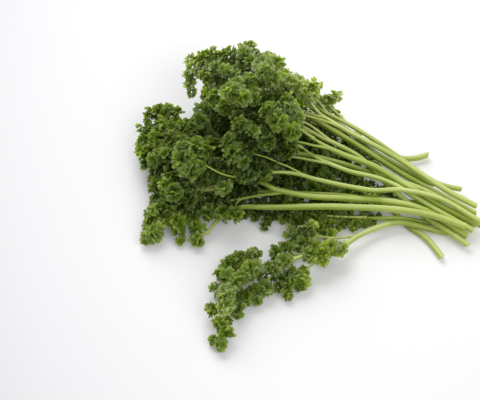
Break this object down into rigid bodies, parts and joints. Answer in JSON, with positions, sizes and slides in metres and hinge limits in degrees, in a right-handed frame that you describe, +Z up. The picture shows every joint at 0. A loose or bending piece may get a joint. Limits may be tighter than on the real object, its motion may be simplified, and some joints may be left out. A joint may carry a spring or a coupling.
{
  "type": "parsley bunch",
  "caption": "Loose bunch of cut curly parsley lying on its side, its bare green stems gathered at the cut ends and fanning out into frilled leaf fronds, with one sprig lying apart.",
  "frame": {"origin": "on the surface the bunch lies on, under the middle of its bounding box", "axes": "+Z up; the cut ends of the stems point to +X and the leaves to -X; the loose sprig lies apart on the -Y side"},
  "size_m": [0.208, 0.2144, 0.0687],
  "materials": {
    "stem": "smooth waxy green stalk with fine lengthwise ribs",
    "leaf": "frilled matte green leaf"
  },
  "bodies": {
    "root": {"stem_01": "stem", "frond_01a": "leaf", "frond_01b": "leaf", "frond_01c": "leaf", "frond_01d": "leaf", "frond_01e": "leaf", "frond_01f": "leaf", "frond_01g": "leaf", "frond_01h": "leaf", "frond_01i": "leaf", "frond_01j": "leaf", "stem_02": "stem", "frond_02a": "leaf", "stem_03": "stem", "frond_03a": "leaf", "frond_03b": "leaf", "stem_04": "stem", "frond_04a": "leaf", "frond_04b": "leaf", "stem_05": "stem", "frond_05a": "leaf", "stem_06": "stem", "frond_06a": "leaf", "frond_06b": "leaf", "frond_06c": "leaf", "stem_07": "stem", "frond_07a": "leaf", "frond_07b": "leaf", "frond_07c": "leaf", "stem_08": "stem", "frond_08a": "leaf", "frond_08b": "leaf", "frond_08c": "leaf", "stem_09": "stem", "frond_09a": "leaf", "frond_09b": "leaf", "frond_09c": "leaf", "stem_10": "stem", "frond_10a": "leaf", "stem_11": "stem", "frond_11a": "leaf", "frond_11b": "leaf", "stem_12": "stem", "frond_12a": "leaf", "frond_12b": "leaf", "frond_12c": "leaf", "stem_13": "stem", "frond_13a": "leaf", "frond_13b": "leaf", "stem_14": "stem", "frond_14a": "leaf", "frond_14b": "leaf", "frond_14c": "leaf", "stem_15": "stem", "frond_15a": "leaf", "frond_15b": "leaf", "stem_16": "stem", "frond_16a": "leaf", "frond_16b": "leaf", "frond_16c": "leaf"}
  },
  "joints": []
}
